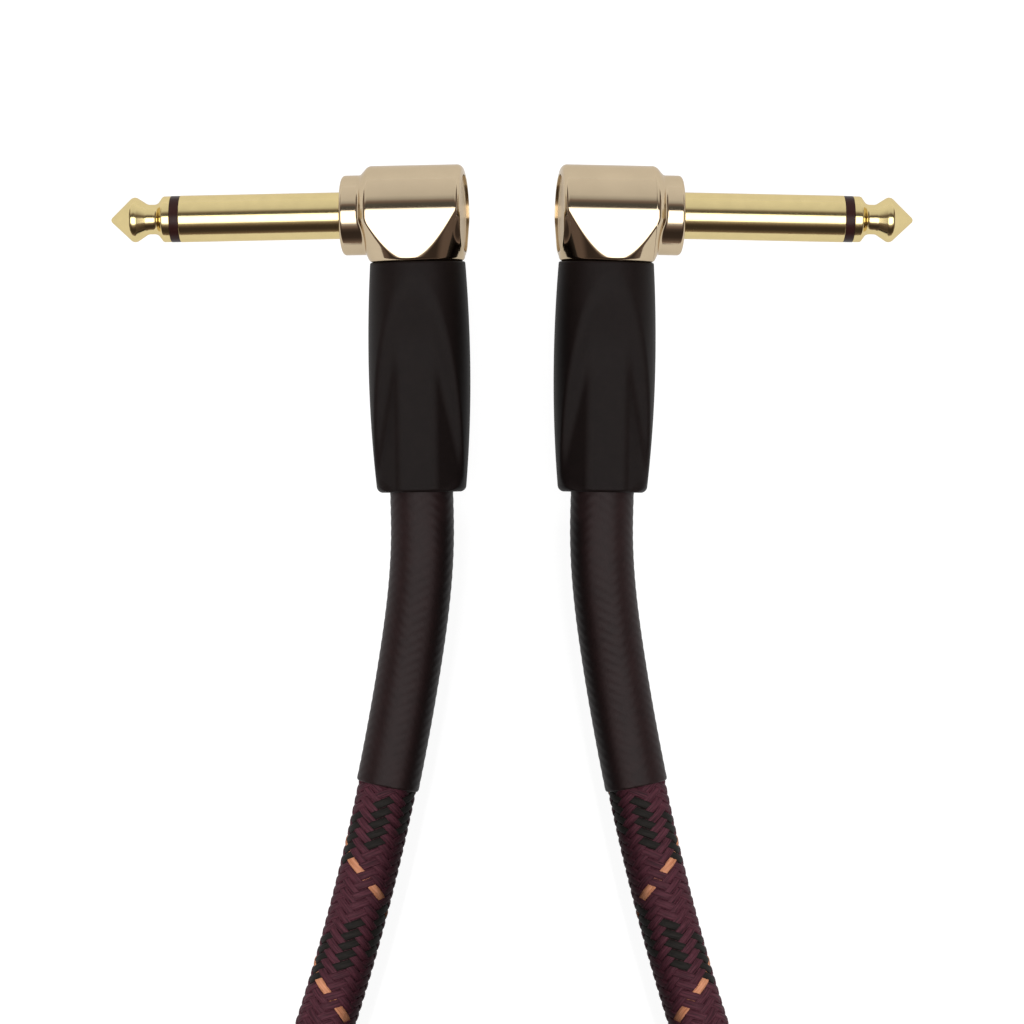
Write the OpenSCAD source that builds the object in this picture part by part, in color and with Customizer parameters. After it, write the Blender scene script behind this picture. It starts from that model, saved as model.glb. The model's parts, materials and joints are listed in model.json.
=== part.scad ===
// Short instrument cable: braided coaxial lead with a right-angle 1/4 inch phone plug on each end.
// Each plug is drawn once, in its own axes: the contact finger along -X, the boot along -Y, both
// from the elbow where their axes cross. It is then laid on the table, and mirrored for the other end.

/* [Contact finger] */
// Diameter of the barrel that enters the jack
barrel_d = 6.35; // [6.25:0.01:6.4]
// Length of the finger from the shoulder of the plug to its point
finger_len = 31.75; // [30:0.05:33]
// Largest diameter of the tip
bulb_d = 6.1; // [5.6:0.05:6.2]
// Distance from the point to the largest diameter of the tip
bulb_at = 3.3; // [2.8:0.1:3.8]
// Diameter of the waist that the jack's spring drops into
waist_d = 4.15; // [3.6:0.05:4.6]
// Distance from the point to the waist
waist_at = 5.5; // [5:0.1:6]
// Length of the tip, from the point to the insulating ring
tip_len = 8.3; // [7.6:0.1:9]
// Width of the insulating ring between tip and barrel
ring_w = 1.25; // [0.8:0.05:1.8]
// Diameter of the rod that carries the tip
rod_d = 2.2; // [1.8:0.1:2.6]
// Bore of the barrel
barrel_bore = 4.3; // [3.8:0.1:4.6]
// Diameter of the flange that holds the barrel in the housing
flange_d = 8.4; // [7.6:0.1:8.8]
// Thickness of the barrel's flange
flange_t = 1; // [0.6:0.1:1.4]
// Length of the barrel behind its flange
barrel_tail = 1.3; // [0.9:0.1:1.6]
// Thickness of the washer that insulates the tip's lug
washer_t = 1.4; // [0.9:0.1:1.6]

/* [Housing] */
// Diameter of the housing's round top
body_d = 13.3; // [12.8:0.1:14]
// Length of the housing along the finger, without its collar
body_len = 12.9; // [12.4:0.1:14]
// Diameter of the collar that stops against the jack
collar_d = 10.85; // [10.2:0.05:11.6]
// Distance from the elbow to the shoulder of the collar
shoulder = 10.1; // [9.6:0.1:11]
// Length of the cone between body and collar
step_len = 1.1; // [0.6:0.1:1.4]
// Distance from the elbow down to the face that the boot meets
neck_drop = 6.5; // [6.2:0.1:7.5]
// Diameter of the neck at the boot
neck_d = 13; // [12.6:0.1:13.4]
// How far the cone under the square shoulders has spread at the elbow
shoulder_spread = 2.6; // [2:0.1:3.2]
// Rounding of the back edge, round the top and down both sides
back_round = 1.2; // [0.8:0.1:1.5]
// Rounding of the collar's front edge
collar_round = 0.6; // [0.2:0.1:0.8]
// Thickness of the lip that the barrel's flange seats on
lip_t = 0.8; // [0.5:0.1:1.2]
// Diameter of the wiring space
cavity_d = 9.6; // [9:0.1:9.8]
// Thickness of the pressed-in back cap
cap_t = 1.1; // [0.8:0.1:1.4]
// Depth of the back cap below the rim
cap_recess = 0.55; // [0.2:0.05:0.6]
// Width of the ledge that the back cap seats on
cap_ledge = 0.4; // [0.25:0.05:0.5]
// Length of the spigot inside the boot
spigot_len = 8; // [6:0.5:10]
// Wall of the spigot
spigot_wall = 0.7; // [0.5:0.05:0.75]
// Height of the spigot's barbs
barb_h = 0.25; // [0.15:0.05:0.35]
// Number of barbs on the spigot
barb_count = 3; // [2:1:4]

/* [Boot] */
// Length of the rubber boot
boot_len = 31.2; // [28:0.2:34]
// Diameter of the boot at the housing
boot_top_d = 12.9; // [12.6:0.1:13.3]
// Largest diameter of the boot
boot_belly_d = 13.8; // [13.4:0.1:14.2]
// Distance from the housing to the largest diameter
boot_belly_at = 13.5; // [11:0.5:15]
// Diameter of the boot at the cable end
boot_end_d = 12; // [11.6:0.1:12.4]
// Rounding of the edge at the cable end
boot_end_round = 1.3; // [0.8:0.1:1.6]
// Slope of the flattened front and back, in degrees from the boot's axis
flat_slope = 10.2; // [8.5:0.1:11]
// Distance from the housing to the point of the flattened front
flat_from = 3; // [2:0.5:5]
// Depth of the boot across the raised tongues on its front and back
tongue_depth = 10; // [9.9:0.1:10.6]
// Width of each tongue
tongue_w = 5.1; // [4:0.1:6]
// Spread of each side wall of the tongue, for each millimetre of depth
tongue_flare = 1.15; // [0.8:0.05:1.4]
// Length of the round ring left at the cable end
ring_len = 1.9; // [1.6:0.1:3]
// Slope of the face that ends the flattened front, in degrees from the boot's axis
run_out = 50; // [35:5:70]

/* [Cable] */
// Diameter over the braided textile cover
cover_d = 7.7; // [7.4:0.1:7.8]
// Thickness of the textile cover
cover_t = 0.5; // [0.4:0.05:0.6]
// Thickness of the plastic jacket
jacket_t = 0.95; // [0.8:0.05:1.05]
// Thickness of the copper screen
screen_t = 0.25; // [0.2:0.05:0.3]
// Diameter of the inner conductor
conductor_d = 1.1; // [0.9:0.05:1.2]
// Thickness of the heat-shrink tube
shrink_t = 0.3; // [0.25:0.05:0.35]
// Length of the heat-shrink tube inside the boot
shrink_in = 11; // [8:0.5:14]
// Wall of the crimped ferrule
ferrule_t = 0.3; // [0.25:0.05:0.35]
// Length of the crimped ferrule
ferrule_len = 7; // [5:0.5:8]
// Length of bare jacket, screen and core at each stripped step
strip_step = 0.8; // [0.5:0.1:0.9]

/* [Terminals] */
// Thickness of the solder lugs
lug_t = 0.5; // [0.4:0.05:0.7]
// Width of the solder lugs
lug_w = 2.2; // [1.6:0.1:2.4]
// Diameter of the screen's twisted pigtail
pigtail_d = 1; // [0.7:0.1:1.1]
// Diameter of the solder at the tip's lug
solder_d = 2; // [1.6:0.1:2.1]

/* [Layout] */
// Distance between the elbows of the two plugs
plug_spacing = 25.8; // [22:0.2:34]
// Turn of each plug on the table, its boot towards the other plug, in degrees
plug_turn = 1; // [0:0.2:3]
// Radial clearance where one piece fits inside another
fit_gap = 0.05; // [0.02:0.01:0.06]
// Radial clearance between the layers of the cable
layer_gap = 0.05; // [0.03:0.01:0.06]

/* [Hidden] */
$fn = 72;

gold = "#d9bf86";
nickel = "#c4b091";
black_rubber = "#221e20";
black_plastic = "#2c2528";
copper = "#b87345";
solder_grey = "#b9bcc0";

// Contact finger: distances are measured from the elbow towards the point
barrel_r = barrel_d / 2;
bulb_r = bulb_d / 2;
waist_r = waist_d / 2;
rod_r = rod_d / 2;
point_z = shoulder + finger_len;
waist_z = point_z - waist_at;
ring_front = point_z - tip_len;
barrel_front = ring_front - ring_w;
flange_front = shoulder - lip_t;
flange_back = flange_front - flange_t;
barrel_back = flange_back - barrel_tail;
washer_back = barrel_back - washer_t;
lug_back = washer_back - lug_t;
rivet_t = 0.5;
rivet_lap = 0.4;
rivet_r = rod_r + rivet_lap;
rod_back = lug_back - rivet_t;
point_r = 0.45;
bulb_round = 0.8;
waist_flat = 0.3;
waist_rise = 0.35;
waist_run = 0.9;
tip_rim = 0.7;
tip_inset = 0.05;
tip_rim_r = barrel_r - tip_inset;
ring_inset = 0.03;
seat_lap = 0.4;
seat_r = barrel_r + seat_lap;
tail_wall = 0.75;
barrel_tail_r = barrel_bore / 2 + tail_wall;
washer_lap = 0.5;
washer_r = barrel_tail_r + washer_lap;

// Housing
body_r = body_d / 2;
body_half = body_len / 2;
collar_r = collar_d / 2;
neck_r = neck_d / 2;
flange_bore_r = flange_d / 2 + fit_gap;
cavity_r = cavity_d / 2;
cap_r = cavity_r + cap_ledge;
cap_back = body_half - cap_recess;
cap_front = cap_back - cap_t;
cap_disc_t = 0.3;
cap_dish = 0.2;
cap_rim = 1;
front_wall = 0.2;
front_wall_z = body_half - front_wall;
spigot_end = neck_drop + spigot_len;
barb_pitch = spigot_len / (barb_count + 1);
barb_slope = 0.7;

// Cable layers, from the outside in
cover_r = cover_d / 2;
cover_in = cover_r - cover_t;
jacket_r = cover_in - layer_gap;
jacket_in = jacket_r - jacket_t;
screen_r = jacket_in - layer_gap;
screen_in = screen_r - screen_t;
core_r = screen_in - layer_gap;
conductor_r = conductor_d / 2;
core_in = conductor_r + layer_gap;
shrink_in_r = cover_r + layer_gap;
shrink_r = shrink_in_r + shrink_t;
ferrule_in = cover_r + fit_gap;
ferrule_r = ferrule_in + ferrule_t;
neck_bore_r = ferrule_r + fit_gap;
spigot_r = neck_bore_r + spigot_wall;

// Where each stripped layer ends, from the elbow along the boot
cover_end = neck_drop + 0.4;
jacket_end = cover_end - strip_step;
screen_end = jacket_end - strip_step;
core_end = screen_end - 2 * strip_step;
conductor_end = core_end - 2 * strip_step;
boot_end = neck_drop + boot_len;

// Boot
boot_top_r = boot_top_d / 2;
boot_belly_r = boot_belly_d / 2;
boot_end_r = boot_end_d / 2;
boot_foot_s = boot_len - boot_end_round;
boot_foot_r = boot_radius(boot_foot_s) - boot_end_round;
flat_end = boot_len - ring_len;
tongue_z = tongue_depth / 2;
boot_bore_r = shrink_r + fit_gap;

// Terminals: how far the tip's lug and the screen's tab stand off the finger's axis, and where the tab ends
lug_clear = 0.4;
tip_lug_y = rivet_r + lug_clear + lug_t;
ground_lug_inset = 0.2;
ground_lug_out = flange_d / 2 - ground_lug_inset;
ground_tab_y = washer_r + fit_gap + lug_t;
tab_reach = 2.2;
ground_tab_end = lug_back - tab_reach;
pigtail_r = pigtail_d / 2;
solder_r = solder_d / 2;
ground_solder_r = 0.8 * solder_r;
joint_x = ground_tab_end + pigtail_r;
joint_y = ground_tab_y + pigtail_r + fit_gap;

// A plug lies on the edge of its housing and on the bulb of its tip, so it is tilted a little
rest_tilt = atan((body_r - bulb_r) / (point_z - bulb_at - body_half));
elbow_z = body_half * sin(rest_tilt) + body_r * cos(rest_tilt);
plug_top = (body_r - back_round) * cos(plug_turn)
    + (body_half - back_round) * cos(rest_tilt) * sin(plug_turn) + back_round;
plug_bottom = (boot_end - boot_end_round) * cos(plug_turn)
    + boot_foot_r * sin(plug_turn) + boot_end_round;
elbow_y = (plug_bottom - plug_top) / 2;

// Route of the cable's centreline on the table, from the left boot to the middle of its loop
ROUTE = [[-13.8, -45, 5.6], [-16.9, -62, 4.3], [-27.2, -100, 3.9], [-31.6, -116.5, 3.9],
    [-28.7, -132.7, 3.9], [-17.3, -145.9, 3.9], [0, -151, 3.9]];
cord_sides = 12;
straight_out = 6;
// The heat-shrink tube ends at the second point of the route
shrink_rings = 4;

function boot_axis(s) = [s * sin(plug_turn) - plug_spacing / 2, elbow_y - s * cos(plug_turn), elbow_z];
function flip(p) = [-p[0], p[1], p[2]];
function half_path(s) = concat([boot_axis(s), boot_axis(boot_end + straight_out)], ROUTE);
function whole_path(s) = let (h = half_path(s), n = len(h))
    concat(h, [for (i = [n - 2 : -1 : 0]) flip(h[i])]);
function unit(v) = v / norm(v);
function heading(p, i) = unit(p[min(i + 1, len(p) - 1)] - p[max(i - 1, 0)]);
function ring_at(p, i, r) = let (t = heading(p, i), side = unit(cross(t, [0, 0, 1])), up = cross(side, t))
    [for (k = [0 : cord_sides - 1]) let (a = 360 * k / cord_sides) p[i] + r * (cos(a) * side + sin(a) * up)];
function rings(p, n, r) = [for (i = [0 : n - 1]) each ring_at(p, i, r)];
function quad(a, b, c, d) = [[a, b, c], [a, c, d]];
function skin(n, from, outward) = [for (i = [0 : n - 2], k = [0 : cord_sides - 1])
    let (a = from + i * cord_sides + k, b = from + i * cord_sides + (k + 1) % cord_sides)
    each outward ? quad(a, b, b + cord_sides, a + cord_sides) : quad(a, a + cord_sides, b + cord_sides, b)];
function rim(out, in, start) = [for (k = [0 : cord_sides - 1]) let (j = (k + 1) % cord_sides)
    each start ? quad(out + k, in + k, in + j, out + j) : quad(out + k, out + j, in + j, in + k)];

// Points on a quarter or other arc, for the corners of turned profiles
function arc(c, r, from, to, steps = 6) =
    [for (i = [0 : steps]) let (a = from + (to - from) * i / steps) c + r * [cos(a), sin(a)]];

// Radius of the boot's outside at a distance from the housing: two shallow arcs that meet at the belly
function boot_radius(s) = s < boot_belly_at
    ? boot_belly_r - (boot_belly_r - boot_top_r) * pow(1 - s / boot_belly_at, 2)
    : boot_belly_r - (boot_belly_r - boot_end_r) * pow((s - boot_belly_at) / (boot_len - boot_belly_at), 2);

module along_finger() { rotate([0, -90, 0]) children(); }
module along_boot() { rotate([90, 0, 0]) children(); }
module left() {
    translate([-plug_spacing / 2, elbow_y, elbow_z]) rotate([0, 0, plug_turn]) rotate([0, -rest_tilt, 0])
        children();
}
module right() { mirror([1, 0, 0]) left() children(); }

// A turned tube along its own Z axis
module tube(r_out, r_in, from, to) {
    translate([0, 0, from]) rotate_extrude() translate([r_in, 0]) square([r_out - r_in, to - from]);
}

// A hollow tube swept along the first n points of a path, and a solid rod swept along all of them
module swept_tube(p, n, r_out, r_in) {
    inner = n * cord_sides;
    polyhedron(
        points = concat(rings(p, n, r_out), rings(p, n, r_in)),
        faces = concat(skin(n, 0, true), skin(n, inner, false), rim(0, inner, true),
            rim((n - 1) * cord_sides, inner + (n - 1) * cord_sides, false)));
}
module swept_rod(p, r) {
    n = len(p);
    last = (n - 1) * cord_sides;
    polyhedron(
        points = rings(p, n, r),
        faces = concat(skin(n, 0, true),
            [for (k = [1 : cord_sides - 2]) [0, k + 1, k]],
            [for (k = [1 : cord_sides - 2]) [last, last + k, last + k + 1]]));
}

// Tip and the rod behind it, turned in one piece, its back end riveted over the lug
module tip_contact() {
    color(gold) along_finger() rotate_extrude() polygon(concat(
        [[0, rod_back], [rivet_r, rod_back], [rivet_r, lug_back], [rod_r, lug_back], [rod_r, ring_front],
            [tip_rim_r, ring_front], [tip_rim_r, ring_front + tip_rim],
            [waist_r + waist_rise, waist_z - waist_run], [waist_r, waist_z - waist_flat],
            [waist_r, waist_z + waist_flat], [waist_r + waist_rise, waist_z + waist_run]],
        arc([bulb_r - bulb_round, point_z - bulb_at], bulb_round, -40, 42),
        arc([0, point_z - point_r], point_r, 45, 90, 4)));
}

module tip_ring() {
    color(black_plastic) along_finger()
        tube(barrel_r - ring_inset, rod_r + fit_gap, barrel_front, ring_front);
}

module rod_sleeve() {
    color("#e8e2d2") along_finger()
        tube(barrel_bore / 2 - fit_gap, rod_r + fit_gap, barrel_back, barrel_front);
}

// Hollow barrel with a seat that fills the collar's bore and a flange behind it
module barrel() {
    color(gold) along_finger() rotate_extrude() polygon([
        [barrel_bore / 2, barrel_back], [barrel_tail_r, barrel_back], [barrel_tail_r, flange_back],
        [flange_d / 2, flange_back], [flange_d / 2, flange_front], [seat_r, flange_front],
        [seat_r, shoulder], [barrel_r, shoulder], [barrel_r, barrel_front],
        [barrel_bore / 2, barrel_front]]);
}

module rear_washer() {
    color(black_plastic) along_finger()
        tube(washer_r, rod_r + fit_gap, washer_back, barrel_back);
}

// Ring under the riveted rod with a tongue bent back to the wire
module tip_lug() {
    color(gold) {
        along_finger() tube(tip_lug_y, rod_r + fit_gap, lug_back, washer_back);
        translate([-washer_back, -tip_lug_y, -lug_w / 2])
            cube([washer_back - conductor_r - fit_gap, lug_t, lug_w]);
    }
}

// Ring behind the barrel's flange with a tab that runs back to the screen's pigtail
module ground_lug() {
    color(gold) {
        along_finger() tube(ground_lug_out, barrel_tail_r + fit_gap, flange_back - lug_t, flange_back);
        translate([-flange_back, -ground_tab_y, -lug_w / 2])
            cube([flange_back - ground_tab_end, lug_t, lug_w]);
    }
}

// Screen gathered into a pigtail that runs from the end of the screen to the underside of the tab
module pigtail() {
    from = [-core_r - pigtail_r - fit_gap, pigtail_r / 2 - screen_end, 0];
    to = [-joint_x, -joint_y, 0];
    run = to - from;
    color(copper) difference() {
        translate(from) rotate([0, 0, atan2(run[1], run[0])]) rotate([0, 90, 0])
            rotate_extrude() polygon(concat(
                arc([0, 0], pigtail_r, -90, 0), arc([0, norm(run)], pigtail_r, 0, 90)));
        along_boot() translate([0, 0, screen_end]) cylinder(r = screen_r + fit_gap, h = strip_step);
    }
}

module tip_solder() {
    color(solder_grey) difference() {
        translate([-conductor_r, -tip_lug_y + lug_t / 2, 0]) sphere(r = solder_r);
        tip_lug();
        along_boot() translate([0, 0, conductor_end - fit_gap])
            cylinder(r = conductor_r + fit_gap, h = neck_drop);
        along_boot() translate([0, 0, core_end - fit_gap]) cylinder(r = core_r + fit_gap, h = neck_drop);
    }
}

module ground_solder() {
    color(solder_grey) difference() {
        translate([-joint_x, -joint_y, 0]) sphere(r = ground_solder_r);
        ground_lug();
        pigtail();
    }
}

// Round top of the housing: a turned body with a rounded back edge
module housing_round() {
    along_finger() rotate_extrude() polygon(concat(
        [[0, -body_half]],
        arc([body_r - back_round, back_round - body_half], back_round, -90, 0),
        [[body_r, body_half], [0, body_half]]));
}

// Collar with the cone that leads up to the body
module housing_collar() {
    along_finger() rotate_extrude() polygon(concat(
        [[0, body_half], [body_r, body_half], [collar_r, body_half + step_len]],
        arc([collar_r - collar_round, shoulder - collar_round], collar_round, 0, 90),
        [[0, shoulder]]));
}

// Lower half of the housing: the outline of the round top, carried straight down to the neck
module housing_square() {
    half = concat(
        [[-body_half - step_len, collar_r], [-body_half, body_r]],
        arc([body_half - back_round, body_r - back_round], back_round, 90, 0));
    along_boot() linear_extrude(neck_drop)
        polygon(concat(half, [for (i = [len(half) - 1 : -1 : 0]) [half[i][0], -half[i][1]]]));
}

// Cone about the boot's axis that turns the square shoulders into the round neck
module neck_cone() {
    rise = body_r + neck_drop;
    along_boot() translate([0, 0, -body_r])
        cylinder(r1 = neck_r + shoulder_spread * rise / neck_drop, r2 = neck_r, h = rise);
}

// Barbed outline shared by the spigot and the socket that the boot has for it
module spigot_shape(gap) {
    along_boot() rotate_extrude() polygon(concat(
        [[0, neck_drop - spigot_wall], [spigot_r + gap, neck_drop - spigot_wall]],
        [for (i = [1 : barb_count]) each [
            [spigot_r + gap, neck_drop + barb_pitch * i - barb_h],
            [spigot_r + barb_h + gap, neck_drop + barb_pitch * i],
            [spigot_r + gap, neck_drop + barb_pitch * (i + barb_slope)]]],
        [[spigot_r + gap, spigot_end + gap], [0, spigot_end + gap]]));
}

module housing() {
    color(nickel) difference() {
        union() {
            intersection() {
                union() {
                    housing_round();
                    housing_square();
                }
                neck_cone();
            }
            housing_collar();
            spigot_shape(0);
        }
        along_finger() {
            translate([0, 0, -cap_front]) cylinder(r = cavity_r, h = cap_front + front_wall_z);
            translate([0, 0, -body_len]) cylinder(r = cap_r + fit_gap, h = body_len - cap_front);
            cylinder(r = flange_bore_r, h = flange_front);
            cylinder(r = seat_r + fit_gap, h = shoulder + 1);
        }
        along_boot() cylinder(r = neck_bore_r, h = spigot_end + 1);
    }
}

// Disc pressed into the back, slightly dished
module back_cap() {
    color(nickel) along_finger() rotate_extrude() polygon([
        [0, -cap_front], [cap_r, -cap_front], [cap_r, -cap_back], [cap_r - cap_rim, -cap_back],
        [cap_r - cap_rim - 2 * cap_dish, cap_dish - cap_back], [0, cap_dish - cap_back]]);
}

module cap_insulator() {
    color("#8a5a34") along_finger() translate([0, 0, -cap_front])
        cylinder(r = cavity_r - fit_gap, h = cap_disc_t);
}

// Ferrule crimped round the cable's cover, inside the spigot
module ferrule() {
    color(gold) along_boot() tube(ferrule_r, ferrule_in, cover_end, cover_end + ferrule_len);
}

// What is taken off the front of the boot: the flattened slope, less the raised tongue
module boot_flat() {
    reach = boot_belly_d;
    slope_h = (flat_end - flat_from) * tan(flat_slope);
    top = boot_radius(flat_from);
    floor_z = top - slope_h;
    difference() {
        rotate([90, 0, 90]) translate([0, 0, -reach])
            linear_extrude(2 * reach) polygon([
                [top, flat_from], [floor_z, flat_end], [reach, flat_end + (reach - floor_z) / tan(run_out)],
                [reach, flat_from]]);
        linear_extrude(boot_len + reach) polygon([
            [-tongue_w / 2, tongue_z], [tongue_w / 2, tongue_z],
            [tongue_w / 2 + tongue_flare * tongue_z, 0], [-tongue_w / 2 - tongue_flare * tongue_z, 0]]);
    }
}

// Moulded rubber boot: a barrel flattened front and back round a raised tongue
module boot() {
    steps = 14;
    color(black_rubber) difference() {
        along_boot() translate([0, 0, neck_drop]) difference() {
            rotate_extrude() polygon(concat(
                [[0, 0]],
                [for (i = [0 : steps]) let (s = boot_foot_s * i / steps) [boot_radius(s), s]],
                arc([boot_foot_r, boot_foot_s], boot_end_round, 0, 90),
                [[0, boot_len]]));
            boot_flat();
            mirror([0, 1, 0]) boot_flat();
        }
        spigot_shape(fit_gap);
        along_boot() cylinder(r = boot_bore_r, h = boot_end + 1);
    }
}

module left_heat_shrink() {
    color(black_plastic) swept_tube(half_path(boot_end - shrink_in), shrink_rings, shrink_r, shrink_in_r);
}
module right_heat_shrink() { mirror([1, 0, 0]) left_heat_shrink(); }

module cable_layer(end, r_out, r_in) {
    path = whole_path(end);
    swept_tube(path, len(path), r_out, r_in);
}
module cable_cover() { color("#4e2a36") cable_layer(cover_end, cover_r, cover_in); }
module cable_jacket() { color(black_plastic) cable_layer(jacket_end, jacket_r, jacket_in); }
module cable_screen() { color(copper) cable_layer(screen_end, screen_r, screen_in); }
module cable_core() { color("#f0efe8") cable_layer(core_end, core_r, core_in); }
module cable_conductor() { color(copper) swept_rod(whole_path(conductor_end), conductor_r); }

left() tip_contact();  // left_tip_contact
left() tip_ring();  // left_tip_ring
left() rod_sleeve();  // left_rod_sleeve
left() barrel();  // left_barrel
left() rear_washer();  // left_rear_washer
left() tip_lug();  // left_tip_lug
left() ground_lug();  // left_ground_lug
left() tip_solder();  // left_tip_solder
left() ground_solder();  // left_ground_solder
left() pigtail();  // left_pigtail
left() housing();  // left_housing
left() back_cap();  // left_back_cap
left() cap_insulator();  // left_cap_insulator
left() ferrule();  // left_ferrule
left() boot();  // left_boot
left_heat_shrink();
right() tip_contact();  // right_tip_contact
right() tip_ring();  // right_tip_ring
right() rod_sleeve();  // right_rod_sleeve
right() barrel();  // right_barrel
right() rear_washer();  // right_rear_washer
right() tip_lug();  // right_tip_lug
right() ground_lug();  // right_ground_lug
right() tip_solder();  // right_tip_solder
right() ground_solder();  // right_ground_solder
right() pigtail();  // right_pigtail
right() housing();  // right_housing
right() back_cap();  // right_back_cap
right() cap_insulator();  // right_cap_insulator
right() ferrule();  // right_ferrule
right() boot();  // right_boot
right_heat_shrink();
cable_cover();
cable_jacket();
cable_screen();
cable_core();
cable_conductor();
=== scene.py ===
import json
import math

import bpy
import numpy as np
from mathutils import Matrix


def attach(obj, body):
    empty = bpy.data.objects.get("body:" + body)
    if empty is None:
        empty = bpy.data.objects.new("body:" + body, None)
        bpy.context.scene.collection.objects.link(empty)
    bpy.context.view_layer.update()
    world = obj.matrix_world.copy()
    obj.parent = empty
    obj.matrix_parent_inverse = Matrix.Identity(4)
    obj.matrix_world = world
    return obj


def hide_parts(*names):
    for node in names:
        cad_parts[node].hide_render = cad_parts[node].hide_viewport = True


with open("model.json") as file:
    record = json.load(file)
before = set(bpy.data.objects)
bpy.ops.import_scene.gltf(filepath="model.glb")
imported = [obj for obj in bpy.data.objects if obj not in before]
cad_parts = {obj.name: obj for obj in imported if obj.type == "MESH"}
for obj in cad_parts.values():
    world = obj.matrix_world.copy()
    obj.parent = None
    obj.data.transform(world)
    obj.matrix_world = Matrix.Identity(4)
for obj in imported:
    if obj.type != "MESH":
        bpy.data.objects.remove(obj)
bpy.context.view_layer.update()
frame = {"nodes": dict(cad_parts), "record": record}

MM = 0.001
TURN = 2 * math.pi

# Places of the part, in millimetres, as its CAD source has them
PLUG_SPACING = 25.8
ELBOW_Y, ELBOW_Z = 15.521, 7.3274
PLUG_TURN = math.radians(1)
REST_TILT = math.radians(6.3991)
NECK_DROP = 6.5
BOOT_LEN = 31.2
BOOT_END = NECK_DROP + BOOT_LEN
STRAIGHT_OUT = 6
# The route's points, in metres
ROUTE = [(-0.0138, -0.045, 0.0056), (-0.0169, -0.062, 0.0043), (-0.0272, -0.1, 0.0039),
         (-0.0316, -0.1165, 0.0039), (-0.0287, -0.1327, 0.0039), (-0.0173, -0.1459, 0.0039),
         (0.0, -0.151, 0.0039)]

# The photograph's scale and its middle row, and the place that the camera looks at
PIXELS_PER_MM, MIDDLE_ROW = 7.37, 511.5
CAMERA_Y = -24.86


# ---------------------------------------------------------------- camera
def make_camera():
    """A long lens straight above, square to the floor."""
    distance, seen_width, aimed_height = 1.4, 0.13894, 0.006
    cam = bpy.data.objects.new("camera", bpy.data.cameras.new("camera"))
    bpy.context.scene.collection.objects.link(cam)
    cam.data.sensor_width = 36
    cam.data.lens = cam.data.sensor_width * distance / seen_width
    cam.location = (0, CAMERA_Y * MM, distance + aimed_height)
    cam.data.clip_start, cam.data.clip_end = 0.1, 20
    bpy.context.scene.camera = cam


make_camera()
bpy.context.scene.view_settings.view_transform = "Standard"


# ---------------------------------------------------------------- shader helpers
def linear(r, g, b):
    """An sRGB colour in 0 to 255, as the shader's linear colour."""
    def one(c):
        c /= 255
        return c / 12.92 if c <= 0.04045 else ((c + 0.055) / 1.055) ** 2.4
    return (one(r), one(g), one(b), 1)


def grey(value):
    """A linear grey."""
    return (value, value, value, 1)


def shade(colour, factor):
    """The colour made darker or brighter."""
    return tuple(c * factor for c in colour[:3]) + (1,)


def pale(colour, white=0.6):
    """The colour mixed with white."""
    return tuple(c + (1 - c) * white for c in colour[:3]) + (1,)


class Nodes:
    """A material's or world's node tree, with short calls for the nodes used here."""

    def __init__(self, name="", tree=None):
        self.tree = tree
        if tree is None:
            self.mat = bpy.data.materials.new(name)
            self.mat.use_nodes = True
            self.tree = self.mat.node_tree
            self.shader = self.tree.nodes["Principled BSDF"]

    def add(self, kind, **values):
        node = self.tree.nodes.new(kind)
        for key, value in values.items():
            setattr(node, key, value)
        return node

    def link(self, a, b):
        self.tree.links.new(a, b)

    def set(self, **values):
        """Constants on the shader's own sockets."""
        for key, value in values.items():
            self.shader.inputs[key.replace("_", " ")].default_value = value

    def coords(self, kind="Object", scale=(1000, 1000, 1000)):
        """Coordinates of the piece, by default its own in millimetres."""
        mapping = self.add("ShaderNodeMapping")
        mapping.inputs["Scale"].default_value = scale
        self.link(self.add("ShaderNodeTexCoord").outputs[kind], mapping.inputs["Vector"])
        return mapping.outputs["Vector"]

    def noise(self, vector, scale, detail=3.0, rough=0.5):
        node = self.add("ShaderNodeTexNoise")
        node.inputs["Scale"].default_value = scale
        node.inputs["Detail"].default_value = detail
        node.inputs["Roughness"].default_value = rough
        self.link(vector, node.inputs["Vector"])
        return node.outputs["Fac"]

    def ramp(self, value, stops):
        """Colours by value, from (place, colour) pairs in rising order."""
        node = self.add("ShaderNodeValToRGB")
        ends = node.color_ramp.elements
        for element, (at, colour) in ((ends[0], stops[0]), (ends[1], stops[-1])):
            element.position, element.color = at, colour
        for at, colour in stops[1:-1]:
            ends.new(at).color = colour
        self.link(value, node.inputs["Fac"])
        return node.outputs["Color"]

    def math(self, operation, *values):
        """One operation on numbers or sockets."""
        node = self.add("ShaderNodeMath", operation=operation)
        for socket, value in zip(node.inputs, values):
            if isinstance(value, (int, float)):
                socket.default_value = value
            else:
                self.link(value, socket)
        return node.outputs["Value"]

    def mix(self, factor, first, second):
        """The first colour where the factor is 0, the second where it is 1."""
        node = self.add("ShaderNodeMix", data_type="RGBA")
        self.link(factor, node.inputs["Factor"])
        first_socket, second_socket = node.inputs[6], node.inputs[7]
        self.link(first, first_socket)
        if isinstance(second, tuple):
            second_socket.default_value = second
        else:
            self.link(second, second_socket)
        return node.outputs[2]

    def spread(self, value, low, high):
        """The value, from 0 to 1, spread over another range."""
        node = self.add("ShaderNodeMapRange")
        node.inputs["To Min"].default_value = low
        node.inputs["To Max"].default_value = high
        self.link(value, node.inputs["Value"])
        return node.outputs["Result"]

    def bump(self, height, distance, strength=1.0):
        node = self.add("ShaderNodeBump")
        node.inputs["Strength"].default_value = strength
        node.inputs["Distance"].default_value = distance
        self.link(height, node.inputs["Height"])
        self.link(node.outputs["Normal"], self.shader.inputs["Normal"])


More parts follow.
